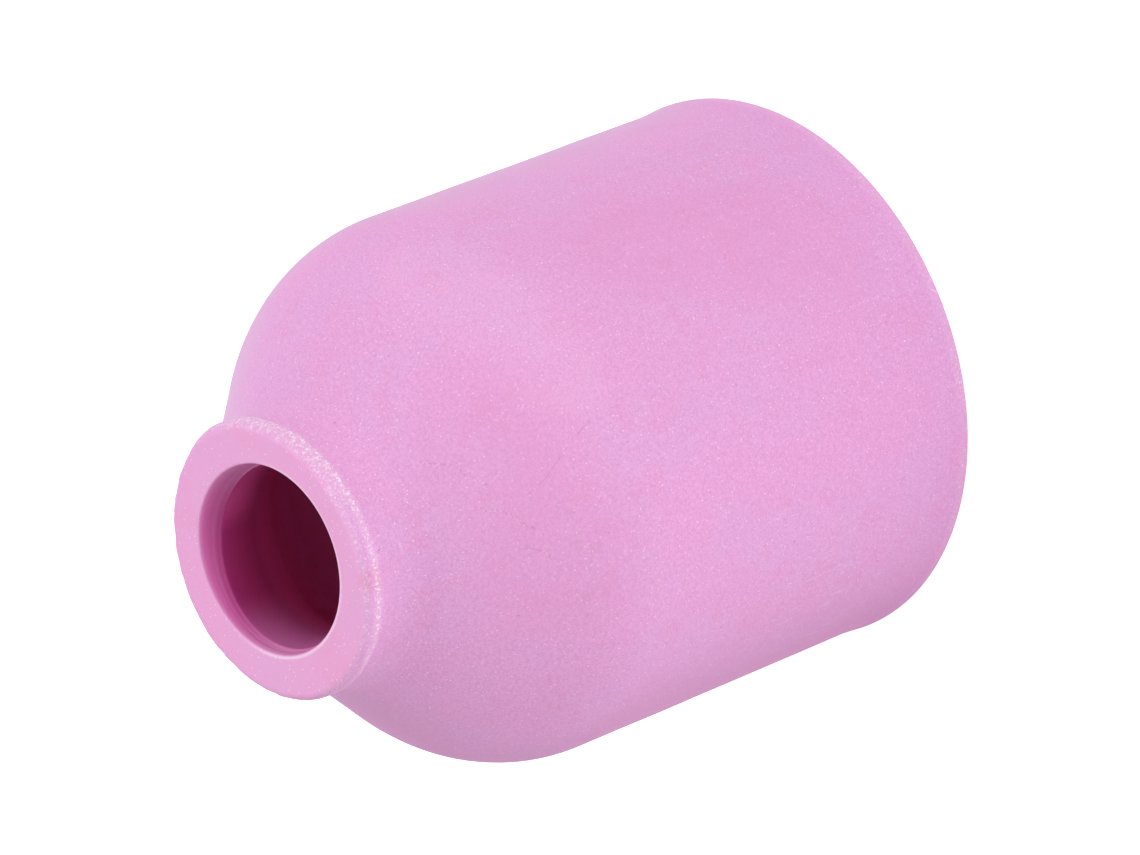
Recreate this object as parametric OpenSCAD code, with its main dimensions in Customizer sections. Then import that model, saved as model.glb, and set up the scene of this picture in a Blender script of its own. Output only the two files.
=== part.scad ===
// Gas cup for a TIG welding torch: one hollow bell of sintered alumina.
// It stands on its rear rim, which is the face that seats against the torch,
// with the lip up. The origin is the centre of that face, and the axis of the
// cup runs along Z. All sizes are in millimetres.

/* [Overall] */
// Length from the flat lip face to the rear rim
cup_len = 35; // [34:0.1:40]
// Outside diameter of the rear rim
rim_dia = 29; // [28.9:0.1:30]
// Outside diameter of the body where the shoulder ends
body_dia = 28.52; // [27.6:0.02:28.7]
// Outside diameter of the body where the rim flare starts
body_rear_dia = 28.72; // [28.7:0.02:28.8]

/* [Nose] */
// Outside diameter of the lip
lip_dia = 14.14; // [14.1:0.02:14.8]
// Thickness of the lip, front to back
lip_depth = 1.06; // [0.9:0.02:1.08]
// Rounding of the lip's front edge
lip_front_round = 0.42; // [0.2:0.02:0.6]
// Rounding of the lip's back edge
lip_back_round = 0.1; // [0.02:0.01:0.1]
// Diameter of the neck behind the lip
neck_dia = 13.9; // [13.6:0.02:13.9]
// Radius of the hollow curve from the neck into the cone
neck_fillet = 3.9; // [3.5:0.1:4.5]
// Distance from the lip face to the hollow curve's start, which the lip may cover
neck_start = 0.95; // [0.9:0.05:1.3]

/* [Shoulder] */
// Slope of the cone against the axis, outside and inside
cone_angle = 42; // [41:0.5:46]
// Radius of the shoulder, outside
shoulder_round = 7.9; // [7.5:0.1:8.4]
// Thickness of the cone, shoulder and body
wall = 3; // [2.8:0.05:3.1]

/* [Rear rim] */
// Length over which the body flares out to the rim
flare_len = 2.7; // [1.5:0.1:4]
// Rounding of the rim's outer edge
rim_round = 0.25; // [0.1:0.05:0.4]

/* [Bore] */
// Diameter at the front of the tapered mouth
mouth_dia = 9.8; // [9.6:0.02:10]
// Diameter at the back of the tapered mouth
mouth_end_dia = 9.4; // [9.3:0.02:9.5]
// Depth of the tapered mouth from the lip face
mouth_depth = 1; // [0.8:0.05:1.4]
// Rounding of the mouth's edge
mouth_round = 0.15; // [0.05:0.01:0.25]
// Diameter of the throat behind the mouth
throat_dia = 9.24; // [8.9:0.02:9.28]
// Radius of the curve from the throat into the inner cone
throat_round = 4; // [3:0.1:4.5]

/* [Torch socket] */
// Inside diameter of the threaded socket, over the tops of the thread
socket_dia = 23.2; // [23:0.1:23.6]
// Length of the threaded socket
socket_len = 10; // [8:0.5:12]
// Diameter of the plain recess at the rear face
recess_dia = 24.6; // [24.2:0.1:25]
// Depth of the plain recess
recess_depth = 1.5; // [1:0.1:2.5]
// Width of the bevel where the recess meets the rear face
recess_bevel = 0.35; // [0.1:0.05:0.5]

/* [Hidden] */

// Facets of a full turn when the file is viewed as a mesh
$fn = 180;
// How far a cutting shape runs past the face it cuts
past = 1;

rim_r = rim_dia / 2;
body_r = body_dia / 2;
body_rear_r = body_rear_dia / 2;
lip_r = lip_dia / 2;
neck_r = neck_dia / 2;
mouth_r = mouth_dia / 2;
mouth_end_r = mouth_end_dia / 2;
throat_r = throat_dia / 2;
socket_r = socket_dia / 2;
recess_r = recess_dia / 2;

// The inner shoulder shares the centre of the outer one, one wall further in
cavity_r = body_r - wall;
cavity_shoulder = shoulder_round - wall;

// Distance from the lip face to the centre of both shoulders
shoulder_at = neck_start + bell_rise(neck_r, neck_fillet, body_r, shoulder_round);
throat_end = shoulder_at - bell_rise(throat_r, throat_round, cavity_r, cavity_shoulder);

// The flare is one arc, tangent to the body, that reaches the rim's radius
// where the rounding of the rim's edge starts
flare_at = cup_len - flare_len;
rim_edge_at = cup_len - rim_round;
flare_rise = rim_r - body_rear_r;
flare_run = rim_edge_at - flare_at;
flare_round = (flare_run * flare_run + flare_rise * flare_rise) / (2 * flare_rise);

socket_at = cup_len - recess_depth - socket_len;

// Length from the end of the neck to the shoulder's centre: the hollow curve,
// then the straight cone, then the round of the shoulder
function bell_rise(r_from, hollow, r_to, round) =
    hollow * sin(cone_angle)
    + (r_to - r_from - (hollow + round) * (1 - cos(cone_angle))) / tan(cone_angle)
    + round * sin(cone_angle);

// Outline from the axis to a bell: a tube of radius r_from that opens through
// a hollow curve, a straight cone and a round shoulder to the radius r_to.
// It is drawn as [radius, distance behind the lip face].
module bell_outline(start, r_from, hollow, r_to, round) {
    centre = [r_to - round, start + bell_rise(r_from, hollow, r_to, round)];
    foot = [r_from + hollow * (1 - cos(cone_angle)), start + hollow * sin(cone_angle)];
    top = centre + round * [cos(cone_angle), -sin(cone_angle)];
    difference() {
        polygon([[0, start], [foot[0], start], foot, top, [top[0], centre[1]], [0, centre[1]]]);
        translate([r_from + hollow, start]) circle(r = hollow);
    }
    intersection() {
        translate(centre) circle(r = round);
        polygon([centre, 2 * top - centre, centre + [2 * round, 0]]);
    }
}

// Quarter disc that rounds an edge off, in the direction [out, along]
module edge_round(centre, round, along) {
    intersection() {
        translate(centre) circle(r = round);
        translate(centre + [0, min(0, along) * round]) square(round);
    }
}

// Outline of the lip, a disc with both edges rounded
module lip_outline() {
    front = [lip_r - lip_front_round, lip_front_round];
    back = [lip_r - lip_back_round, lip_depth - lip_back_round];
    square([front[0], lip_depth]);
    translate([0, front[1]]) square([lip_r, back[1] - front[1]]);
    translate([0, front[1]]) square([back[0], lip_depth - front[1]]);
    edge_round(front, lip_front_round, -1);
    edge_round(back, lip_back_round, 1);
}

// Outline of the nearly straight body with its flare and the edge of the rim
module body_outline() {
    edge = [rim_r - rim_round, rim_edge_at];
    difference() {
        polygon([
            [0, shoulder_at], [body_r, shoulder_at], [body_rear_r, flare_at],
            [rim_r, flare_at], [rim_r, rim_edge_at], edge, [edge[0], cup_len], [0, cup_len]
        ]);
        translate([body_rear_r + flare_round, flare_at]) circle(r = flare_round);
    }
    edge_round(edge, rim_round, 1);
}

// Outside of the cup, filled in to the axis
module outer_outline() {
    lip_outline();
    translate([0, lip_front_round]) square([neck_r, neck_start - lip_front_round]);
    bell_outline(neck_start, neck_r, neck_fillet, body_r, shoulder_round);
    body_outline();
}

// Everything that is hollow, from the mouth at the lip to the rear face
module hollow_outline() {
    edge_r = mouth_r + mouth_round;
    recess_at = cup_len - recess_depth;
    bevel_at = cup_len - recess_bevel;
    bevel_r = recess_r + recess_bevel;
    difference() {
        translate([0, -past]) square([edge_r, past + mouth_round]);
        translate([edge_r, mouth_round]) circle(r = mouth_round);
    }
    polygon([
        [0, 0], [mouth_end_r, 0], [mouth_r, mouth_round],
        [mouth_end_r, mouth_depth], [0, mouth_depth]
    ]);
    square([throat_r, throat_end]);
    bell_outline(throat_end, throat_r, throat_round, cavity_r, cavity_shoulder);
    translate([0, shoulder_at]) square([cavity_r, socket_at - shoulder_at]);
    translate([0, socket_at]) square([socket_r, socket_len]);
    polygon([
        [0, recess_at], [recess_r, recess_at], [recess_r, bevel_at], [bevel_r, cup_len],
        [bevel_r, cup_len + past], [0, cup_len + past]
    ]);
}

// The outlines run back from the lip face, so the bell is turned over to
// stand on its rear face
module ceramic_cup() {
    color("#e4a3d8")
        translate([0, 0, cup_len])
            rotate([180, 0, 0])
                rotate_extrude()
                    difference() {
                        outer_outline();
                        hollow_outline();
                    }
}

ceramic_cup();
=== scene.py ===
# %% [markdown]
# # A gas cup for a TIG torch
# The cup is the pink ceramic nozzle at the front of a TIG torch. The gas comes
# in through its wide rear end and leaves by the small mouth, round the
# tungsten. It is one piece: alumina powder pressed to shape and fired, so it
# has no joints and nothing that moves.
#
# The fixed frame comes first. It holds the cup as a plain solid at its real
# size, standing on its rear rim with the lip up. What is modelled here has to
# stay where that solid is.

# %% Load the fixed frame
import math
from collections import namedtuple

import bpy
from mathutils import Matrix, Vector


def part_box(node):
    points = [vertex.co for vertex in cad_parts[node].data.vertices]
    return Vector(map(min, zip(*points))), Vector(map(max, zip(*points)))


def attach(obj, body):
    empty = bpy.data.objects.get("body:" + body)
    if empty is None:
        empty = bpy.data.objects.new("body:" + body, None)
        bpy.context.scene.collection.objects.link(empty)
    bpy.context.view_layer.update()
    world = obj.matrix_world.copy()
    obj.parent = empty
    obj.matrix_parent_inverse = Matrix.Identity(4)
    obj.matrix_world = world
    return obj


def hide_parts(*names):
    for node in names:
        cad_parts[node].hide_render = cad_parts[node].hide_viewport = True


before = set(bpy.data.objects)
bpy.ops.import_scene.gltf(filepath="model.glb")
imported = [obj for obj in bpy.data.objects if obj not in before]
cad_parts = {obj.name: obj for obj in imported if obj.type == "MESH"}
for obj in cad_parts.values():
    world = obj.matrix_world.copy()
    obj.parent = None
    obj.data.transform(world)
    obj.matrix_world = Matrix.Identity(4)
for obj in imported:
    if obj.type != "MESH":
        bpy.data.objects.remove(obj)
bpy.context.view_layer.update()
_, cup_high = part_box("ceramic_cup")
print("pieces in the frame:", sorted(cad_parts))

# %% [markdown]
# ## Sizes
# A part like this is known by a few sizes, and the rest follows from them. The
# length and the rim's radius are read from the frame. The others are named
# here once, in millimetres, and turned into metres where they are used. R is a
# radius, LEN and DEPTH run along the axis, and ROUND is the radius of an edge.

# %% The driving sizes
MM = 0.001
CUP_LEN = cup_high.z / MM
RIM_R = cup_high.x / MM

BODY_R, BODY_REAR_R = 14.26, 14.36
LIP_R, LIP_DEPTH, LIP_FRONT_ROUND, LIP_BACK_ROUND = 7.07, 1.06, 0.42, 0.1
NECK_R, NECK_START, NECK_HOLLOW = 6.95, 0.95, 3.9
CONE_SLOPE = math.radians(42)
SHOULDER_ROUND, WALL = 7.9, 3.0
FLARE_LEN, RIM_ROUND = 2.7, 0.25
MOUTH_R, MOUTH_ROUND, MOUTH_END_R, MOUTH_DEPTH = 5.02, 0.12, 4.7, 1.3
MOUTH_STEP, MOUTH_STEP_R, MOUTH_STEP_AT, MOUTH_STEP_LEN = 0.015, 4.87, 0.8, 0.12
THROAT_R, THROAT_HOLLOW = 4.62, 4.0
SOCKET_R, SOCKET_LEN = 11.6, 10.0
RECESS_R, RECESS_DEPTH, RECESS_BEVEL = 12.3, 1.5, 0.35
THREAD_R, THREAD_PITCH = 12.15, 2.0
print(f"cup {CUP_LEN:.1f} mm long, rim {2 * RIM_R:.1f} mm across")

# %% [markdown]
# ## The camera
# A long lens far away keeps the cup's sides nearly parallel. The camera looks
# down on the standing cup, and it is rolled until the cup seems to lie on its
# side. It is placed by one point: the middle of the lip has to fall on a given
# spot of the picture at a given distance.

# %% The camera
PICTURE_W, PICTURE_H = 1140, 855
LENS, SENSOR = 221.05, 36
CAMERA_AZIMUTH, CAMERA_ELEVATION, CAMERA_ROLL = 45, 40.21, -111.49
LIP_SPOT = (267.1, 563.6)
LIP_DISTANCE = 341.9

camera = bpy.data.objects.new("camera", bpy.data.cameras.new("camera"))
bpy.context.scene.collection.objects.link(camera)
bpy.context.scene.camera = camera
camera.data.lens, camera.data.sensor_width = LENS, SENSOR
camera.data.clip_start, camera.data.clip_end = 0.01, 20

turned = (
    Matrix.Rotation(math.radians(CAMERA_AZIMUTH), 3, "Z")
    @ Matrix.Rotation(math.radians(90 - CAMERA_ELEVATION), 3, "X")
    @ Matrix.Rotation(math.radians(CAMERA_ROLL), 3, "Z")
)
picture_right, picture_up, picture_near = turned.col
pixel = LIP_DISTANCE * SENSOR / LENS / PICTURE_W
lip_in_picture = (
    picture_right * (LIP_SPOT[0] - PICTURE_W / 2) * pixel
    - picture_up * (LIP_SPOT[1] - PICTURE_H / 2) * pixel
    - picture_near * LIP_DISTANCE
)
camera.matrix_world = Matrix.Translation(
    (Vector((0, 0, CUP_LEN)) - lip_in_picture) * MM
) @ turned.to_4x4()
print("camera at", [round(x, 4) for x in camera.location], "m")

# %% [markdown]
# ## Two strokes to draw a section with
# Every slice through the cup's axis is the same, so half a slice is drawn once
# and spun round. Its outline is straight runs and true arcs. A straight run is
# a vertex extruded, and an arc is a vertex spun about the arc's centre.

# %% Straight runs and arcs
SAME_SPOT = 0.001 * MM
Bell = namedtuple("Bell", "hollow_centre hollow_end shoulder_start shoulder_centre")


def spot(radius, height):
    """A point of the section in metres, from a radius and a height in millimetres."""
    return Vector((radius, 0, height)) * MM


def start_at(point):
    """A loose vertex, in edit mode, in an object at the origin."""
    bpy.ops.object.select_all(action="DESELECT")
    bpy.ops.mesh.primitive_plane_add(size=MM, location=(0, 0, 0))
    bpy.ops.object.mode_set(mode="EDIT")
    bpy.ops.mesh.merge(type="CENTER")
    bpy.ops.transform.translate(value=point)
    return point


def run(start, end, parts=1):
    """Extrudes the last vertex in a straight line, in equal parts."""
    for _ in range(parts):
        step = {"value": (end - start) / parts}
        bpy.ops.mesh.extrude_region_move(TRANSFORM_OT_translate=step)
    return end


def sweep(start, end, centre, parts):
    """Spins the last vertex about the centre of an arc that ends at end."""
    a, b = start - centre, end - centre
    turn = math.atan2(a.x * b.z - a.z * b.x, a.dot(b))
    bpy.ops.mesh.spin(steps=parts, angle=turn, center=centre, axis=(0, 1, 0))
    return end


def close():
    """Merges the end of an outline into its start and leaves edit mode."""
    bpy.ops.mesh.select_all(action="SELECT")
    bpy.ops.mesh.remove_doubles(threshold=SAME_SPOT)
    bpy.ops.object.mode_set(mode="OBJECT")
    return bpy.context.object


def bell_points(start_r, start_h, hollow, end_r, rounding):
    """The arcs of a bell that opens downwards, from a hollow curve to a round shoulder."""
    sine, cosine = math.sin(CONE_SLOPE), math.cos(CONE_SLOPE)
    straight = end_r - start_r - (hollow + rounding) * (1 - cosine)
    drop = (hollow + rounding) * sine + straight * cosine / sine
    hollow_centre = spot(start_r + hollow, start_h)
    shoulder_centre = spot(end_r - rounding, start_h - drop)
    lean = Vector((cosine, 0, sine)) * MM
    return Bell(
        hollow_centre, hollow_centre - hollow * lean,
        shoulder_centre + rounding * lean, shoulder_centre,
    )


# %% [markdown]
# ## The section of the cup
# The outline starts at the inner edge of the rear face and goes once round the
# wall: out over the rim, up the body, over the shoulder, in to the neck, round
# the lip, in at the mouth and down the bore. The inside follows the outside one
# wall thickness further in, because both shoulders share a centre. That even
# wall is what lets a pressed cup shrink evenly in the kiln.

# %% Draw the outside
face_h = CUP_LEN
lip_back_h = face_h - LIP_DEPTH
skin = bell_points(NECK_R, face_h - NECK_START, NECK_HOLLOW, BODY_R, SHOULDER_ROUND)
flare_run, flare_rise = FLARE_LEN - RIM_ROUND, RIM_R - BODY_REAR_R
flare_round = (flare_run**2 + flare_rise**2) / (2 * flare_rise)
meet_r = NECK_R + NECK_HOLLOW - math.sqrt(NECK_HOLLOW**2 - (LIP_DEPTH - NECK_START) ** 2)

first = start_at(spot(RECESS_R + RECESS_BEVEL, 0))
pen = run(first, spot(RIM_R - RIM_ROUND, 0), 4)
pen = sweep(pen, spot(RIM_R, RIM_ROUND), spot(RIM_R - RIM_ROUND, RIM_ROUND), 5)
pen = sweep(pen, spot(BODY_REAR_R, FLARE_LEN), spot(BODY_REAR_R + flare_round, FLARE_LEN), 8)
pen = run(pen, spot(BODY_R, skin.shoulder_centre.z / MM), 20)
pen = sweep(pen, skin.shoulder_start, skin.shoulder_centre, 18)
pen = run(pen, skin.hollow_end, 8)
pen = sweep(pen, spot(meet_r, lip_back_h), skin.hollow_centre, 16)
print("outside drawn, pen at", [round(x / MM, 2) for x in pen])

# %% Draw the lip and the mouth
round_h = lip_back_h + LIP_BACK_ROUND
pen = run(pen, spot(LIP_R - LIP_BACK_ROUND, lip_back_h))
pen = sweep(pen, spot(LIP_R, round_h), spot(LIP_R - LIP_BACK_ROUND, round_h), 4)
pen = run(pen, spot(LIP_R, face_h - LIP_FRONT_ROUND), 6)
front_r = LIP_R - LIP_FRONT_ROUND
pen = sweep(pen, spot(front_r, face_h), spot(front_r, face_h - LIP_FRONT_ROUND), 10)

# The mouth tapers from its rounded edge to its end, with one small step between
edge_r = MOUTH_R + MOUTH_ROUND
pen = run(pen, spot(edge_r, face_h), 12)
pen = sweep(pen, spot(MOUTH_R, face_h - MOUTH_ROUND), spot(edge_r, face_h - MOUTH_ROUND), 5)
pen = run(pen, spot(MOUTH_STEP_R, face_h - MOUTH_STEP_AT), 4)
pen = run(pen, pen - spot(MOUTH_STEP, MOUTH_STEP_LEN), 2)
pen = run(pen, spot(MOUTH_END_R, face_h - MOUTH_DEPTH), 3)
print("lip drawn, pen at", [round(x / MM, 2) for x in pen])

# %% Draw the bore and the torch end
cavity_r = BODY_R - WALL
cavity_round = SHOULDER_ROUND - WALL
level = bell_points(THROAT_R, 0, THROAT_HOLLOW, cavity_r, cavity_round)
throat_h = (skin.shoulder_centre.z - level.shoulder_centre.z) / MM
bore = bell_points(THROAT_R, throat_h, THROAT_HOLLOW, cavity_r, cavity_round)
socket_top = RECESS_DEPTH + SOCKET_LEN

pen = run(pen, spot(THROAT_R, face_h - MOUTH_DEPTH))
pen = run(pen, spot(THROAT_R, throat_h), 6)
pen = sweep(pen, bore.hollow_end, bore.hollow_centre, 10)
pen = run(pen, bore.shoulder_start, 6)
pen = sweep(pen, spot(cavity_r, bore.shoulder_centre.z / MM), bore.shoulder_centre, 10)
pen = run(pen, spot(cavity_r, socket_top), 6)
pen = run(pen, spot(SOCKET_R, socket_top))
pen = run(pen, spot(SOCKET_R, RECESS_DEPTH), 4)
pen = run(pen, spot(RECESS_R, RECESS_DEPTH))
pen = run(pen, spot(RECESS_R, RECESS_BEVEL))
pen = run(pen, first)
section = close()
print("the section is a closed line of", len(section.data.vertices), "points")

# %% [markdown]
# ## No corner is quite sharp
# The die, the kiln and then handling take the point off each corner. A vertex
# bevel on the section rounds them all before the spin, where each corner is
# still a single vertex and easy to find: it is where the line turns.

# %% Round the section's corners
CORNER_TURN, CORNER_ROUND = math.radians(18), 0.05
mesh = section.data
ways = {v.index: [] for v in mesh.vertices}
for edge in mesh.edges:
    a, b = edge.vertices
    ways[a].append((mesh.vertices[b].co - mesh.vertices[a].co).normalized())
    ways[b].append((mesh.vertices[a].co - mesh.vertices[b].co).normalized())
for edge in mesh.edges:
    edge.select = False
for v in mesh.vertices:
    into, out = ways[v.index]
    v.select = into.angle(-out) > CORNER_TURN
print("corners:", sum(v.select for v in mesh.vertices))

bpy.ops.object.mode_set(mode="EDIT")
bpy.ops.mesh.bevel(offset=CORNER_ROUND * MM, segments=3, affect="VERTICES", clamp_overlap=True)
bpy.ops.object.mode_set(mode="OBJECT")
print("points after rounding:", len(mesh.vertices))

# %% [markdown]
# ## Spin the section into a cup
# A Screw modifier without any rise turns the section once round the upright
# axis and merges the last slice into the first. The normals are worked out
# again because a turned section may come out inside out.

# %% Spin the wall
SLICES = 360

whirl = section.modifiers.new("whirl", "SCREW")
whirl.axis, whirl.angle, whirl.screw_offset = "Z", 2 * math.pi, 0
whirl.steps = whirl.render_steps = SLICES
whirl.use_merge_vertices, whirl.merge_threshold = True, SAME_SPOT
bpy.ops.object.modifier_apply(modifier="whirl")
cup = bpy.context.object
cup.name = "gas_cup"
bpy.ops.object.mode_set(mode="EDIT")
bpy.ops.mesh.select_all(action="SELECT")
bpy.ops.mesh.remove_doubles(threshold=SAME_SPOT)
bpy.ops.mesh.normals_make_consistent(inside=False)
bpy.ops.object.mode_set(mode="OBJECT")
print("the cup has", len(cup.data.polygons), "faces")

# %% [markdown]
# ## The thread in the socket
# The cup screws onto the gas lens by a coarse, blunt thread, because a fine one
# would crumble in ceramic. A blunt tooth is drawn like the section, a Screw
# modifier winds it up the socket, and a Boolean takes the coil out of the wall.
# A turn and a rise that are both positive make a right-hand thread.

# %% Wind the thread
TOOTH_ROOT, TOOTH_TIP, TOOTH_IN = 0.8, 0.26, 0.3
THREAD_FROM, THREAD_TURNS, THREAD_STEPS = 0.5, 4.9, 90

first = start_at(spot(SOCKET_R - TOOTH_IN, THREAD_FROM - TOOTH_ROOT))
pen = run(first, spot(THREAD_R, THREAD_FROM - TOOTH_TIP), 2)
pen = run(pen, spot(THREAD_R, THREAD_FROM + TOOTH_TIP))
pen = run(pen, spot(SOCKET_R - TOOTH_IN, THREAD_FROM + TOOTH_ROOT), 2)
pen = run(pen, first)
coil = close()
coil.name = "coil"

screw = coil.modifiers.new("wind", "SCREW")
screw.axis = "Z"
screw.angle = 2 * math.pi * THREAD_TURNS
screw.screw_offset = THREAD_PITCH * THREAD_TURNS * MM
screw.steps = screw.render_steps = int(THREAD_STEPS * THREAD_TURNS)
screw.use_normal_calculate = True
bpy.ops.object.modifier_apply(modifier="wind")
bpy.ops.object.mode_set(mode="EDIT")
bpy.ops.mesh.select_all(action="SELECT")
bpy.ops.mesh.fill_holes(sides=0)
bpy.ops.mesh.select_all(action="SELECT")
bpy.ops.mesh.normals_make_consistent(inside=False)
bpy.ops.object.mode_set(mode="OBJECT")
print("coil of", len(coil.data.polygons), "faces")

# %% Cut the thread
bpy.ops.object.select_all(action="DESELECT")
cup.select_set(True)
bpy.context.view_layer.objects.active = cup
cut = cup.modifiers.new("thread", "BOOLEAN")
cut.operation = "DIFFERENCE"
cut.solver = "EXACT"
cut.object = coil
bpy.ops.object.modifier_apply(modifier="thread")
bpy.data.objects.remove(coil)
print("with its thread the cup has", len(cup.data.polygons), "faces")

# %% [markdown]
# ## Pressed, not turned
# Two things give a pressed cup away. The tapered mouth never stands quite over
# the bore, and it isn't quite round. Here it is a fifth of a millimetre off and
# nearly as much oval, so the taper runs out into the bore sooner on one side
# than on the other. And the lip is no true circle either: it swells a little,
# mostly on one side, and its edge, which is bumped on the bench, is worn and
# slightly nibbled.
#
# All of this is done by moving vertices by rule after the spin, because a turned
# section can only be round. Which way a vertex faces is read before anything
# moves, because Blender works all the normals out again after each move.

# %% Find the vertices of the bore
JUST_BELOW, MARGIN = 0.001, 0.01
PAST_MOUTH = MOUTH_DEPTH + 0.2
LEANS_IN = 0.2


def fade(value, start, end):
    """0 at start, 1 at end, and a smooth S between."""
    t = min(max((value - start) / (end - start), 0), 1)
    return t * t * (3 - 2 * t)


def polar(v):
    """Distance from the axis and depth below the lip face, in millimetres."""
    return v.co.xy.length / MM, face_h - v.co.z / MM


def in_hollow(radius, depth, inward):
    """Whether a point lies in the bore: near the mouth by its radius, further in by its facing."""
    if depth < PAST_MOUTH:
        return depth > JUST_BELOW and radius < edge_r + MARGIN
    return inward


points = cup.data.vertices
faces_in = [v.normal.xy.dot(v.co.xy) < -LEANS_IN * v.co.xy.length for v in points]
print(sum(faces_in), "of", len(points), "vertices face the axis")

# %% Set the mouth off centre
MOUTH_SHIFT, MOUTH_TILT = Vector((0.21, -0.01)), 0.62
MOUTH_OVAL, OVAL_WAY = 0.17, math.radians(-40)
THROAT_QUIET = 6.0
EDGE_WIDTH, EDGE_DEPTH = 0.09, 0.15

bore_depths, mouth_edge = [], []
for v, inward in zip(points, faces_in):
    radius, depth = polar(v)
    hollow = in_hollow(radius, depth, inward)
    bore_depths.append(depth if hollow else 0)
    mouth_edge.append(max(0, 1 - abs(radius - edge_r) / EDGE_WIDTH) if depth < EDGE_DEPTH else 0)
    if depth > THROAT_QUIET or (depth > JUST_BELOW and not hollow):
        continue
    out = v.co.xy.normalized()
    oval = MOUTH_OVAL * math.cos(2 * (math.atan2(out.y, out.x) - OVAL_WAY))
    shift = MOUTH_SHIFT + oval * out
    shift = shift * (1 - fade(depth, 0.2, MOUTH_DEPTH)) * fade(radius, front_r, edge_r)
    sink = fade(depth, 0.1, MOUTH_DEPTH) * (1 - fade(depth, PAST_MOUTH, THROAT_QUIET))
    v.co += Vector((shift.x, shift.y, -MOUTH_TILT * sink * out.x)) * MM
print("mouth moved by", round(MOUTH_SHIFT.length, 3), "mm")

# %% Swell the lip
# A direction and a reach to either side, in degrees, and a size in millimetres
LIP_SWELLS = [(45, 38, 0.21), (152, 45, 0.10), (215, 45, 0.06)]
SWELL_FROM, SWELL_FULL = 5.6, 6.9
BACK_FACE, BACK_FREE_R = 0.9, LIP_R - 0.07


def swell_at(angle):
    """How far the lip stands out in a direction, in millimetres."""
    turns = [abs((angle - way + 180) % 360 - 180) for way, _, _ in LIP_SWELLS]
    return sum(size * fade(turn, reach, 0) for turn, (_, reach, size) in zip(turns, LIP_SWELLS))


for v in points:
    radius, depth = polar(v)
    if radius < SWELL_FROM or depth > LIP_DEPTH + MARGIN:
        continue
    swell = swell_at(math.degrees(math.atan2(v.co.y, v.co.x)))
    free = fade(radius, meet_r + MARGIN, BACK_FREE_R) if depth > BACK_FACE else 1
    grown = swell * free * fade(radius, SWELL_FROM, SWELL_FULL)
    v.co += v.co.xy.normalized().to_3d() * grown * MM
widest = max(v.co.xy.length for v in points if polar(v)[1] < LIP_DEPTH)
print("the lip now reaches", round(widest / MM, 2), "mm from the axis")

# %% Nibble the lip's edges
EDGE_IN, FRONT_REACH, BACK_REACH, WEIGHT_GAIN = 0.12, 0.5, 0.3, 1.3
lip_edge = cup.vertex_groups.new(name="lip_edge")
for v in points:
    radius, depth = polar(v)
    if radius > front_r - 0.3 and depth < LIP_DEPTH + 0.05:
        to_front = math.hypot(radius - (LIP_R - EDGE_IN), depth - EDGE_IN)
        to_back = math.hypot(radius - LIP_R, depth - LIP_DEPTH)
        nearness = max(0, 1 - to_front / FRONT_REACH, 1 - to_back / BACK_REACH)
        lip_edge.add([v.index], min(1, WEIGHT_GAIN * nearness), "REPLACE")


def displace(name, group, grain_size, depth, strength, middle):
    """Pushes a group's vertices in and out by a cloud texture, and applies it."""
    cloud = bpy.data.textures.new(name, "CLOUDS")
    cloud.noise_scale, cloud.noise_depth = grain_size * MM, depth
    cloud.noise_basis = "ORIGINAL_PERLIN"
    push = cup.modifiers.new(name, "DISPLACE")
    push.texture, push.texture_coords, push.vertex_group = cloud, "LOCAL", group
    push.strength, push.mid_level = strength * MM, middle
    bpy.ops.object.modifier_apply(modifier=name)


displace("nibbles", "lip_edge", grain_size=0.45, depth=2, strength=0.11, middle=0.62)
print("lip edge nibbled")

# %% Let the wall wander a little
FACE_EDGE_R = 5.5
STILL_TO, FREE_FROM = 0.3, 3
SHARP = math.radians(35)

outside = cup.vertex_groups.new(name="outside")
for v, inward in zip(points, faces_in):
    radius, depth = polar(v)
    if radius > FACE_EDGE_R and not inward:
        outside.add([v.index], fade(CUP_LEN - depth, STILL_TO, FREE_FROM), "REPLACE")
displace("waves", "outside", grain_size=6, depth=1, strength=0.07, middle=0.5)
bpy.ops.object.shade_smooth_by_angle(angle=SHARP)
print("highest point now", round(max(v.co.z for v in points) / MM, 3), "mm")

# %% [markdown]
# ## How deep in the bore
# Light that goes down the bore bounces from pink to pink, and also soaks
# through the wall. Each bounce keeps the red and loses the green, so the bore
# darkens to maroon within a few millimetres. That darkening is painted into the
# colour as painted shade, so the paint needs to know how deep a point lies, and
# the depth is kept on the mesh as an attribute: millimetres below the lip on the
# inside, nothing on the outside. It is the depth before the mouth was moved, so
# that the colours end where the taper ends. A mask of the bore's front part goes
# with it, because a face between the socket and the rear face would otherwise run
# through all the depths in between. A third number marks the edge of the mouth,
# where a painted highlight goes.

# %% Keep the depth on the mesh
def keep(name, values):
    """Stores one number for each vertex."""
    cup.data.attributes.new(name, "FLOAT", "POINT").data.foreach_set("value", values)


MASK_FULL, PAINT_ENDS = 0.12, (15, 25)
keep("bore_depth", bore_depths)
keep("bore_mask", [fade(d, 0, MASK_FULL) * (1 - fade(d, *PAINT_ENDS)) for d in bore_depths])
keep("mouth_edge", mouth_edge)
print("deepest", round(max(bore_depths), 1), "mm")

# %% [markdown]
# ## Fired alumina
# The colour comes from a little chromium oxide in the alumina. It isn't even:
# the powder and the kiln leave soft patches from a warm pink to a cool mauve,
# a fine grain, and crystals that catch the light. Their glints are painted into
# the colour as white points. All of it is laid in millimetres from the object's
# own coordinates, so nothing slides. The short hand below adds nodes to whichever
# tree is at work, so that the floor and the air can use it too.

# %% A short hand for nodes
alumina = bpy.data.materials.new("fired_alumina")
alumina.use_nodes = True
tree = alumina.node_tree


def put(socket, value):
    """Links a socket, or sets a constant."""
    if isinstance(value, bpy.types.NodeSocket):
        tree.links.new(value, socket)
    else:
        socket.default_value = value


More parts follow.
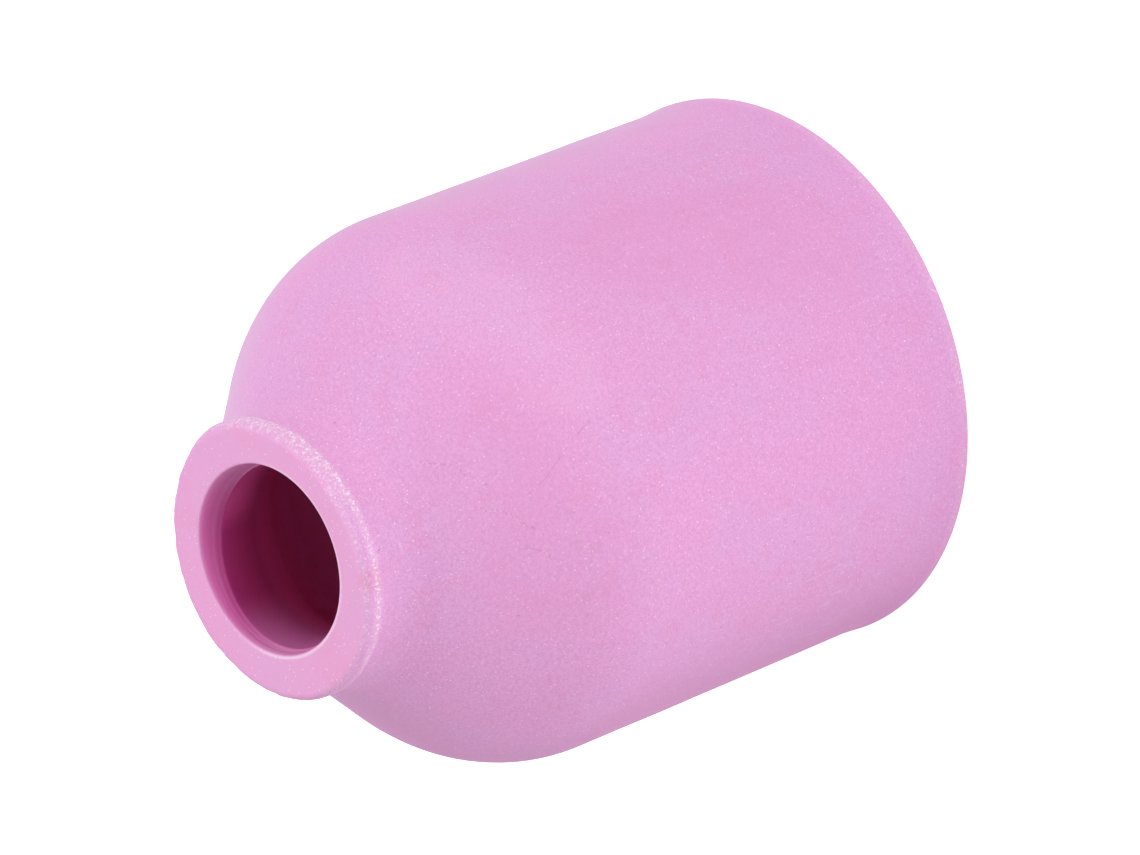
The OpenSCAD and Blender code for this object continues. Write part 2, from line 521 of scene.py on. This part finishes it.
def add(kind, out=0, settings=None, **inputs):
    """A node with its inputs filled in by name, and the output asked for."""
    node = tree.nodes.new(kind)
    for key, value in (settings or {}).items():
        setattr(node, key, value)
    for key, value in inputs.items():
        name = key.replace("_", " ")
        put(node.inputs[int(name[1:])] if name[1:].isdigit() else node.inputs[name], value)
    return node.outputs[out]


def math_node(operation, a, b=0.5, c=0.5):
    """A sum, a product or another operation on numbers."""
    return add("ShaderNodeMath", settings={"operation": operation}, i0=a, i1=b, i2=c)


def ramp_between(value, low, high, to_low=0.0, to_high=1.0):
    """A smooth step from low to high."""
    return add(
        "ShaderNodeMapRange", settings={"interpolation_type": "SMOOTHSTEP"},
        Value=value, From_Min=low, From_Max=high, To_Min=to_low, To_Max=to_high,
    )


def mix(factor, a, b, blend="MIX"):
    """Mixes two colours."""
    node = tree.nodes.new("ShaderNodeMix")
    node.data_type, node.blend_type = "RGBA", blend
    put(node.inputs[0], factor)
    put(node.inputs[6], a)
    put(node.inputs[7], b)
    return node.outputs[2]


def lay(base, mask, strength, tint):
    """Lays a tint over a colour where a mask is, at a strength."""
    return mix(math_node("MULTIPLY", mask, strength), base, tint)


def kept(name):
    """A number stored on the mesh."""
    node = tree.nodes.new("ShaderNodeAttribute")
    node.attribute_name = name
    return node.outputs["Fac"]


def noise(scale, detail=2, roughness=0.5, vector=None, distortion=0.0):
    """Cloudy noise from 0 to 1, laid in millimetres."""
    return add(
        "ShaderNodeTexNoise", Vector=vector or place, Scale=scale, Detail=detail,
        Roughness=roughness, Distortion=distortion,
    )


def report(step):
    """Prints how far the tree has grown."""
    print(f"{step}: {len(tree.nodes)} nodes in all")


# %% Places in millimetres
place = add(
    "ShaderNodeVectorMath", settings={"operation": "SCALE"},
    i0=add("ShaderNodeTexCoord", "Object"), Scale=1 / MM,
)
split = tree.nodes.new("ShaderNodeSeparateXYZ")
tree.links.new(place, split.inputs[0])
flat = add("ShaderNodeCombineXYZ", X=split.outputs["X"], Y=split.outputs["Y"])
from_axis = add("ShaderNodeVectorMath", 1, settings={"operation": "LENGTH"}, i0=flat)
below_lip = math_node("SUBTRACT", CUP_LEN, split.outputs["Z"])
print("patterns are laid in millimetres, from the axis and from the face")

# %% Soft patches
PINK, MAUVE, ROSE = (0.792, 0.374, 0.680, 1), (0.770, 0.386, 0.697, 1), (0.792, 0.352, 0.638, 1)
patches = ramp_between(noise(0.22, 2, 0.5), 0.36, 0.66)
colour = mix(patches, PINK, MAUVE)
warm = ramp_between(noise(0.45, 1, 0.5, distortion=0.4), 0.54, 0.74, 0.0, 0.5)
colour = mix(warm, colour, ROSE)
report("soft patches")

# %% Grain
# The pink is deeper where it is darker, so green and blue swing more than red
GRAIN_SWING, FINE_SWING, FACE_CALM = 0.05, 0.04, 0.35
GREEN_SWING, BLUE_SWING = 1.9, 1.2

grain = noise(8, 2, 0.6)
fine = noise(22, 1, 0.5)
light_dark = math_node(
    "ADD",
    ramp_between(grain, 0.3, 0.7, -GRAIN_SWING, GRAIN_SWING),
    ramp_between(fine, 0.3, 0.7, -FINE_SWING, FINE_SWING),
)
on_face = ramp_between(below_lip, 0.10, 0.03)
light_dark = math_node("MULTIPLY", light_dark, ramp_between(on_face, 0.0, 1.0, 1.0, FACE_CALM))
shade = add(
    "ShaderNodeCombineColor",
    Red=math_node("ADD", light_dark, 1.0),
    Green=math_node("MULTIPLY_ADD", light_dark, GREEN_SWING, 1.0),
    Blue=math_node("MULTIPLY_ADD", light_dark, BLUE_SWING, 1.0),
)
colour = mix(1.0, colour, shade, "MULTIPLY")
report("grain")

# %% Painted glints and dark specks
GLINT, SPECK = (0.96, 0.86, 0.95, 1), (0.30, 0.12, 0.17, 1)


def dots(per_mm, size, share, seed):
    """A mask of dots, each in the middle of a cell, in a share of the cells."""
    moved = add("ShaderNodeVectorMath", i0=place, i1=(seed, seed * 2, seed * 3))
    cells = tree.nodes.new("ShaderNodeTexVoronoi")
    put(cells.inputs["Vector"], moved)
    cells.inputs["Scale"].default_value = per_mm
    chance = add("ShaderNodeSeparateColor", "Red", i0=cells.outputs["Color"])
    dot = ramp_between(cells.outputs["Distance"], size, size * 0.5)
    return math_node("MULTIPLY", dot, math_node("LESS_THAN", chance, share))


# The white points are painted glints of the crystals, laid into the colour
painted_glints = math_node("MAXIMUM", dots(3.2, 0.15, 0.28, 3.1), dots(6.0, 0.26, 0.16, 7.7))
colour = lay(colour, painted_glints, 0.70, GLINT)
colour = lay(colour, dots(1.1, 0.07, 0.10, 5.3), 0.55, SPECK)
report("white points and specks")

# %% [markdown]
# ## Marks of use
# The cup has been in a drawer with others. That leaves pale scuffs, a hairline,
# three short scratches side by side where one thing slid over the shoulder, and
# drag marks along the side it lay on.
#
# Scuffs can lie anywhere, so they come from noise: a thin band of its values
# makes curved lines, and more noise breaks them up. A scratch starts and ends
# somewhere, so it is a chain of straight strokes between places on the cup, in
# millimetres, and each stroke is a mask of the distance to its line.

# %% Scuffs
def both(*masks):
    """The masks multiplied."""
    product = masks[0]
    for mask in masks[1:]:
        product = math_node("MULTIPLY", product, mask)
    return product


def any_of(masks):
    """The strongest of the masks."""
    most = masks[0]
    for mask in masks[1:]:
        most = math_node("MAXIMUM", most, mask)
    return most


wiggle = noise(1.6, 2, 0.5, distortion=0.6)
line = ramp_between(math_node("ABSOLUTE", math_node("SUBTRACT", wiggle, 0.5)), 0.010, 0.003)
where = ramp_between(noise(0.32, 2, 0.5), 0.60, 0.68)
broken = ramp_between(noise(5.5, 1, 0.5), 0.46, 0.60)
scuffs = both(line, where, broken)
PALE = (0.90, 0.66, 0.86, 1)
colour = lay(colour, scuffs, 0.40, PALE)
report("scuffs")

# %% Places of the scratches
HAIRLINE = [
    (6.92, -9.10, 27.58), (7.74, -9.36, 26.79), (8.70, -9.36, 26.00),
    (9.89, -9.26, 24.68), (10.42, -9.14, 23.87), (10.69, -9.36, 22.37),
]
SLID = [
    [
        (7.27, -4.71, 30.64), (7.40, -5.30, 30.15), (7.56, -6.02, 29.52),
        (7.21, -6.77, 29.27), (7.10, -7.58, 28.73),
    ],
    [
        (5.98, -7.98, 29.20), (6.10, -8.50, 28.65), (6.02, -8.98, 28.27),
        (5.68, -9.63, 27.86), (5.57, -10.03, 27.54),
    ],
    [
        (4.53, -9.86, 28.23), (4.64, -10.37, 27.66), (4.49, -10.83, 27.25),
        (4.07, -11.31, 26.93), (3.88, -11.70, 26.58),
    ],
]
CHIPS = [
    [(8.62, -9.65, 25.78), (8.29, -10.06, 25.63)],
    [(0.85, -10.08, 29.04), (1.37, -10.62, 28.38)],
    [(4.14, -5.95, 32.53), (3.23, -6.55, 32.42)],
]
HAIR, SCRATCH, CHIP = 0.038, 0.08, 0.07  # half of their widths
print(len(SLID), "scratches,", len(CHIPS), "chips and a hairline of", len(HAIRLINE), "places")

# %% Strokes between places
STROKE_CORE = 0.4


def stroke(start, end, half_width):
    """A mask of the straight stroke between two places on the cup."""
    start, end = Vector(start), Vector(end)
    length = (end - start).length
    way = (end - start) / length
    away = add("ShaderNodeVectorMath", settings={"operation": "SUBTRACT"}, i0=place, i1=start)
    along = add("ShaderNodeVectorMath", 1, settings={"operation": "DOT_PRODUCT"}, i0=away, i1=way)
    along = math_node("MINIMUM", math_node("MAXIMUM", along, 0), length)
    foot = add("ShaderNodeVectorMath", settings={"operation": "SCALE"}, i0=way, Scale=along)
    off = add("ShaderNodeVectorMath", 1, settings={"operation": "DISTANCE"}, i0=away, i1=foot)
    return ramp_between(off, half_width, half_width * STROKE_CORE)


def path(spots, half_width):
    """A mask of a line through several places."""
    return any_of([stroke(a, b, half_width) for a, b in zip(spots, spots[1:])])


# %% Hairline, scratches and chips
hairline = both(path(HAIRLINE, HAIR), ramp_between(noise(2.2, 1, 0.5), 0.36, 0.52))
slid = any_of([path(spots, SCRATCH) for spots in SLID])
crumble = noise(9, 1, 0.5)
slid_dark = both(slid, ramp_between(crumble, 0.50, 0.42))
slid_pale = both(slid, ramp_between(crumble, 0.50, 0.60))
chips = both(any_of([path(spots, CHIP) for spots in CHIPS]), broken)

DARK = (0.42, 0.17, 0.28, 1)
colour = lay(colour, any_of([hairline, slid_dark]), 0.28, DARK)
colour = lay(colour, any_of([slid_pale, chips]), 0.40, PALE)
report("hairline, scratches and chips")

# %% Drag marks
DRAGGED, DRAG_REACH = (-4.0, -13.8, 8.5), 7.0
ALONG_CUP = (1, 1, 0.13)
SPOT_CORE = 0.35


def close_to(spot_mm, reach):
    """1 at a place on the cup, 0 a reach away from it."""
    away = add("ShaderNodeVectorMath", 1, settings={"operation": "DISTANCE"}, i0=place, i1=spot_mm)
    return ramp_between(away, reach, reach * SPOT_CORE)


stretched = add("ShaderNodeVectorMath", settings={"operation": "MULTIPLY"}, i0=place, i1=ALONG_CUP)
streaks = ramp_between(noise(5.5, 2, 0.6, vector=stretched), 0.56, 0.70)
drag = both(streaks, close_to(DRAGGED, DRAG_REACH), ramp_between(noise(1.1, 1, 0.5), 0.42, 0.56))
colour = lay(colour, drag, 0.32, PALE)
report("drag marks")

# %% [markdown]
# ## Deeper and paler patches
# Along one stretch of the shoulder and of the side the pink is deeper, and next
# to it a little paler. Such patches are broad and have no edge, so they are the
# strokes of the scratches again, only some millimetres wide, and slow noise makes
# them uneven.

# %% Flushed and pale patches
FLUSHED = [
    [(9.0, -6.4, 28.0), (7.0, -9.2, 27.5), (4.2, -11.4, 26.8)],
    [(13.9, -2.8, 15.0), (13.2, -5.7, 6.5)],
]
PALER = [(12.9, 2.0, 25.5), (13.2, -0.6, 25.3), (11.9, -6.9, 24.2)]
FLUSH_REACH, PALE_REACH = 5.5, 3.4
FLUSH = (0.785, 0.30, 0.575, 1)

uneven = ramp_between(noise(0.4, 2, 0.6), 0.35, 0.65, 0.55, 1.0)
flushed = both(any_of([path(spots, FLUSH_REACH) for spots in FLUSHED]), uneven)
paler = both(path(PALER, PALE_REACH), uneven)
colour = lay(colour, flushed, 0.32, FLUSH)
colour = lay(colour, paler, 0.09, PALE)
report("flushed and pale patches")

# %% [markdown]
# ## Smudges and worn edges
# Metal and heat leave small brown smudges. Nothing protects the lip, so the edge
# that is knocked most is crumbly and white, and the rear rim has white flecks
# where the cup was set down. Wear follows the shape. How far a place lies below
# the lip and from the axis finds the edges, and noise breaks the wear into
# crumbs, so no picture has to be painted and wrapped round the cup.

# %% Brown smudges
SMUDGES = [
    (2.48, -12.64, 25.86), (1.45, -12.92, 25.68), (5.10, -11.66, 26.08),
    (5.05, -12.22, 25.31), (6.53, -10.84, 26.17),
]
SMUDGE_REACH = 0.42
LIP_STAIN, LIP_STAIN_REACH = (2.85, -6.50, 34.45), 1.0
BROWN, RUST = (0.60, 0.27, 0.38, 1), (0.74, 0.26, 0.40, 1)

smudges = any_of([close_to(spot_mm, SMUDGE_REACH) for spot_mm in SMUDGES])
smudged = both(smudges, ramp_between(noise(4, 2, 0.6), 0.40, 0.62))
colour = lay(colour, smudged, 0.22, BROWN)
stain = both(close_to(LIP_STAIN, LIP_STAIN_REACH), ramp_between(noise(2.5, 2, 0.6), 0.30, 0.60))
colour = lay(colour, stain, 0.45, RUST)
report("smudges")

# %% Wear on the lip
KNOCKED_SIDE, BATTERED_SIDE = (0.85, -0.52, 0), (0.90, 0.43, 0)
CHALK_AND_HIGHLIGHT = (1.0, 0.86, 0.96, 1)
# How far below the face each worn band has its middle, and how far it reaches
BACK_EDGE, FRONT_EDGE, WHOLE_EDGE = (0.86, 0.50), (0.16, 0.24), (0.55, 0.62)


def near(value, middle, reach):
    """1 at the middle, 0 a reach away from it."""
    return ramp_between(math_node("ABSOLUTE", math_node("SUBTRACT", value, middle)), reach, 0.0)


def towards(way):
    """How far a place lies to one side of the axis, in millimetres."""
    return add("ShaderNodeVectorMath", 1, settings={"operation": "DOT_PRODUCT"}, i0=place, i1=way)


at_edge = ramp_between(from_axis, 6.70, 6.95)
knocked = both(at_edge, ramp_between(towards(KNOCKED_SIDE), -4.0, 4.0, 0.1, 1.0))
battered = ramp_between(towards(BATTERED_SIDE), 1.5, 6.5)
back_edge = both(near(below_lip, *BACK_EDGE), knocked)
front_edge = both(near(below_lip, *FRONT_EDGE), knocked)
whole_edge = both(near(below_lip, *WHOLE_EDGE), at_edge, battered)
haze = any_of([back_edge, whole_edge, math_node("MULTIPLY", front_edge, 0.5)])

crumbs = ramp_between(math_node("MULTIPLY_ADD", battered, 0.022, noise(5.2, 3, 0.75)), 0.55, 0.60)
flecks = ramp_between(noise(9, 2, 0.6), 0.58, 0.65)
lip_wear = both(haze, any_of([crumbs, flecks]))
colour = lay(colour, haze, 0.15, CHALK_AND_HIGHLIGHT)
colour = lay(colour, lip_wear, 0.78, CHALK_AND_HIGHLIGHT)
report("wear on the lip")

# %% Wear on the rear rim
at_rear = ramp_between(below_lip, CUP_LEN - 0.9, CUP_LEN - 0.3)
rim_edge = both(at_rear, ramp_between(from_axis, RIM_R - 0.5, RIM_R - 0.2))
rim_flecks = both(rim_edge, flecks, ramp_between(noise(0.5, 1, 0.5), 0.40, 0.56))
colour = lay(colour, rim_edge, 0.10, CHALK_AND_HIGHLIGHT)
colour = lay(colour, rim_flecks, 0.55, CHALK_AND_HIGHLIGHT)
report("wear on the rear rim")

# %% [markdown]
# ## The face and the bore
# The flat face is tinted a touch lighter than the side.
# Inside, the colour changes every few tenths of a millimetre, over the taper, its
# small step and the start of the throat; these colours are painted shade. A ramp
# over the stored depth holds all those colours in one node. The wall isn't the
# same all round either: painted shade leaves one side of the taper dimmer, and
# painted light makes two sides of the throat lighter.

# %% The face
FACE_TINT = (1.08, 1.06, 1.02, 1)
colour = mix(on_face, colour, mix(1.0, colour, FACE_TINT, "MULTIPLY"))
report("face")

# %% Colours down the bore
# Each depth in millimetres with its colour, the painted shade of the bore
BORE_SHADE_COLOURS = {
    0.0: (0.79, 0.34, 0.62), 0.3: (0.67, 0.15, 0.43), 0.7: (0.57, 0.11, 0.34),
    0.95: (0.56, 0.12, 0.36), 1.15: (0.45, 0.062, 0.24), 1.3: (0.46, 0.070, 0.26),
    1.42: (0.36, 0.027, 0.155), 2.6: (0.335, 0.022, 0.115), 3.4: (0.35, 0.024, 0.124),
    4.4: (0.66, 0.062, 0.25), 6.0: (0.90, 0.18, 0.47), 9.0: (0.95, 0.33, 0.66),
}
BORE_SCALE = 12

depth_in, in_bore = kept("bore_depth"), kept("bore_mask")
bore_ramp = tree.nodes.new("ShaderNodeValToRGB")
put(bore_ramp.inputs["Fac"], math_node("DIVIDE", depth_in, BORE_SCALE))
stops = bore_ramp.color_ramp.elements
for _ in range(len(BORE_SHADE_COLOURS) - 2):
    stops.new(0.5)
for stop, (depth, rgb) in zip(stops, BORE_SHADE_COLOURS.items()):
    stop.position, stop.color = depth / BORE_SCALE, (*rgb, 1)
bore_light_and_shade = bore_ramp.outputs["Color"]
print("bore painted with", len(stops), "colours")

# %% Painted light on the sides of the bore
DIM_SIDE, LIT_SIDE, UPPER_SIDE = (-0.57, 0.82, 0), (-0.80, -0.60, 0), (0.42, 0.91, 0)
LIT_TAPER, LIT_THROAT = (0.80, 0.33, 0.63, 1), (0.62, 0.19, 0.46, 1)
LIT_UPPER = (0.58, 0.07, 0.266, 1)

# Painted light: the taper is mixed lighter except on its dim side, and the throat on two sides
in_taper = ramp_between(depth_in, 1.36, 1.28)
undimmed = ramp_between(towards(DIM_SIDE), 4.6, 1.0)
bore_light_and_shade = lay(bore_light_and_shade, both(in_taper, undimmed), 0.65, LIT_TAPER)
in_throat = both(ramp_between(depth_in, 1.28, 1.36), ramp_between(depth_in, 5.0, 1.5))
lit = ramp_between(towards(LIT_SIDE), 1.5, 4.6)
bore_light_and_shade = lay(bore_light_and_shade, both(in_throat, lit), 0.72, LIT_THROAT)
in_upper = both(ramp_between(depth_in, 1.30, 1.45), ramp_between(depth_in, 4.8, 1.8))
upper = ramp_between(towards(UPPER_SIDE), 3.4, 4.5)
bore_light_and_shade = mix(both(in_upper, upper), bore_light_and_shade, LIT_UPPER)
colour = mix(in_bore, colour, bore_light_and_shade)
report("bore")

# %% Painted highlight on the edge of the mouth
HIGHLIT_SIDE = (0.1, -1, 0)
# Painted highlight: one side of the mouth's edge is mixed toward a chalky white
highlit_part = ramp_between(towards(HIGHLIT_SIDE), -2.0, 1.5)
patchy = ramp_between(noise(3, 2, 0.6), 0.25, 0.5, 0.5, 1.0)
painted_edge_highlight = both(kept("mouth_edge"), highlit_part, patchy)
colour = lay(colour, painted_edge_highlight, 0.6, CHALK_AND_HIGHLIGHT)
report("edge of the mouth")

# %% [markdown]
# ## Painted sheen, shade and glow
# Rough ceramic has a faint sheen, and here it is painted: where the surface turns
# away from the viewer, the colour on one side is mixed toward a greyer mauve. On
# the other side it is mixed toward a deeper pink, as painted shade along the
# outline. Both follow whoever looks, so they use the Layer Weight node, and a
# baked copy of the cup does without them. Deep in the bore the wall glows a faint
# red: painted light that stands in for light soaking through three millimetres of
# alumina.

# %% Painted sheen and edge shade
SHEEN_GREY, SHEEN_SIDE = (0.65, 0.45, 0.66, 1), (0.86, 0.51, 0)
EDGE_SHADE_ROSE = (0.60, 0.22, 0.48, 1)

grazing = add("ShaderNodeLayerWeight", "Facing", Blend=0.5)
to_sheen_side = towards(SHEEN_SIDE)
# Painted sheen: grazing places on one side are mixed toward a greyer mauve
painted_sheen = both(
    ramp_between(grazing, 0.66, 0.97, 0.0, 0.55),
    ramp_between(to_sheen_side, -9.0, 0.0),
    math_node("SUBTRACT", 1.0, in_bore),
)
colour = mix(painted_sheen, colour, SHEEN_GREY)
# Painted shade: grazing places on the other side are mixed toward a deeper pink
painted_edge_shade = both(ramp_between(grazing, 0.50, 0.95, 0.0, 0.5), ramp_between(to_sheen_side, -4.0, -11.0))
colour = mix(painted_edge_shade, colour, EDGE_SHADE_ROSE)
report("sheen")

# %% The surface
BORE_GLOW_RED, BORE_GLOW_STRENGTH = (1.0, 0.03, 0.12, 1), 0.0135
UNLIT = (0, 0, 0, 1)
SPECULAR = 0.15
LEAST_ROUGH, MOST_ROUGH, WORN_MORE = 0.52, 0.68, 0.2

shader = tree.nodes["Principled BSDF"]
put(shader.inputs["Base Color"], colour)
rough = ramp_between(grain, 0.3, 0.7, LEAST_ROUGH, MOST_ROUGH)
put(shader.inputs["Roughness"], math_node("MULTIPLY_ADD", lip_wear, WORN_MORE, rough))
put(shader.inputs["Specular IOR Level"], SPECULAR)
# Painted glow: a faint red emission deep in the bore, though the wall is no lamp
painted_bore_glow = both(in_bore, ramp_between(depth_in, 3.4, 6.4), ramp_between(depth_in, 20, 10))
put(shader.inputs["Emission Color"], mix(painted_bore_glow, UNLIT, BORE_GLOW_RED))
put(shader.inputs["Emission Strength"], BORE_GLOW_STRENGTH)
report("surface")

# %% Bumps and cuts
BUMP_HEIGHT, FINE_SHARE, CUT_DEPTH = 0.012, 0.5, -0.8

cuts = any_of([scuffs, hairline, slid_dark])
bumps = math_node("MULTIPLY_ADD", fine, FINE_SHARE, grain)
relief = math_node("MULTIPLY_ADD", cuts, CUT_DEPTH, bumps)
bump = add("ShaderNodeBump", "Normal", Strength=1.0, Distance=BUMP_HEIGHT * MM, Height=relief)
put(shader.inputs["Normal"], bump)
cup.data.materials.clear()
cup.data.materials.append(alumina)
print("alumina built from", len(tree.nodes), "nodes")

# %% [markdown]
# ## The floor and the air
# A white sheet under the cup keeps a faint shadow. It glows only for rays that
# come straight from the camera, by a mirror or through glass, so the background
# is white without adding light to the cup. The air does the same. Under the cup
# the sheet doesn't glow, so the line where the cup touches it stays dark.

# %% Rays that see the background
def seen_rays():
    """1 for the rays that show the background as it is, 0 for those that light the cup."""
    rays = tree.nodes.new("ShaderNodeLightPath")
    kinds = ("Is Camera Ray", "Is Glossy Ray", "Is Transmission Ray")
    return any_of([rays.outputs[kind] for kind in kinds])


# %% The floor
FLOOR_SIZE = 4
PAPER_WHITE, PAPER_GLOW = (0.8, 0.8, 0.8, 1), 0.72

bpy.ops.object.select_all(action="DESELECT")
bpy.ops.mesh.primitive_plane_add(size=FLOOR_SIZE, location=(0, 0, 0))
floor = bpy.context.object
floor.name = "floor"

paper = bpy.data.materials.new("white_paper")
paper.use_nodes = True
tree = paper.node_tree
matte = tree.nodes["Principled BSDF"]
put(matte.inputs["Base Color"], PAPER_WHITE)
put(matte.inputs["Roughness"], 1)
on_floor = add("ShaderNodeTexCoord", "Object")
from_middle = add("ShaderNodeVectorMath", 1, settings={"operation": "LENGTH"}, i0=on_floor)
beyond_cup = math_node("GREATER_THAN", from_middle, (RIM_R - RIM_ROUND) * MM)
glow_strength = math_node("MULTIPLY", both(seen_rays(), beyond_cup), PAPER_GLOW)
glow = add("ShaderNodeEmission", Color=(1, 1, 1, 1), Strength=glow_strength)
lit_paper = add("ShaderNodeAddShader", i0=matte.outputs[0], i1=glow)
put(tree.nodes["Material Output"].inputs["Surface"], lit_paper)
floor.data.materials.append(paper)
print("floor", FLOOR_SIZE, "m wide")

# %% The air
AIR_LIGHT = 0.25
world = bpy.data.worlds.new("studio")
bpy.context.scene.world = world
world.use_nodes = True
tree = world.node_tree
air = tree.nodes["Background"]
put(air.inputs["Color"], (1, 1, 1, 1))
put(air.inputs["Strength"], math_node("MULTIPLY_ADD", seen_rays(), 1 - AIR_LIGHT, AIR_LIGHT))
print("air gives", AIR_LIGHT, "of the light it shows")

# %% [markdown]
# ## Soft light from round the table
# Six round softboxes stand close to the cup. Each is set by where it stands,
# an azimuth and a height in degrees, and by its watts. Three high ones shine on
# one side, so the other side of the body falls off a little, and three low ones
# keep the lip, the cone and the inside of the mouth open.

# %% Softboxes
LAMP_SIZE, LAMP_FAR = 0.35, 0.6
SOFTBOXES = {
    "front_left": (0, 15, 0.95),
    "front": (45, 15, 1.30),
    "side_low": (135, 15, 0.43),
    "side_high": (135, 50, 1.07),
    "side_back": (180, 50, 0.65),
    "back_high": (240, 50, 0.84),
}
middle = Vector((0, 0, CUP_LEN / 2 * MM))
for name, (azimuth, height, watts) in SOFTBOXES.items():
    turn, lift = math.radians(azimuth), math.radians(height)
    way = Vector((math.sin(turn) * math.cos(lift), -math.cos(turn) * math.cos(lift), math.sin(lift)))
    lamp = bpy.data.objects.new(name, bpy.data.lights.new(name, "AREA"))
    lamp.data.shape, lamp.data.size, lamp.data.energy = "DISK", LAMP_SIZE, watts
    lamp.location = middle + way * LAMP_FAR
    lamp.rotation_euler = way.to_track_quat("Z", "Y").to_euler()
    bpy.context.scene.collection.objects.link(lamp)
print("lamps:", ", ".join(SOFTBOXES))

# %% Hand over to the frame
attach(cup, "root")
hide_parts("ceramic_cup")

bpy.context.scene.view_settings.view_transform = "Standard"
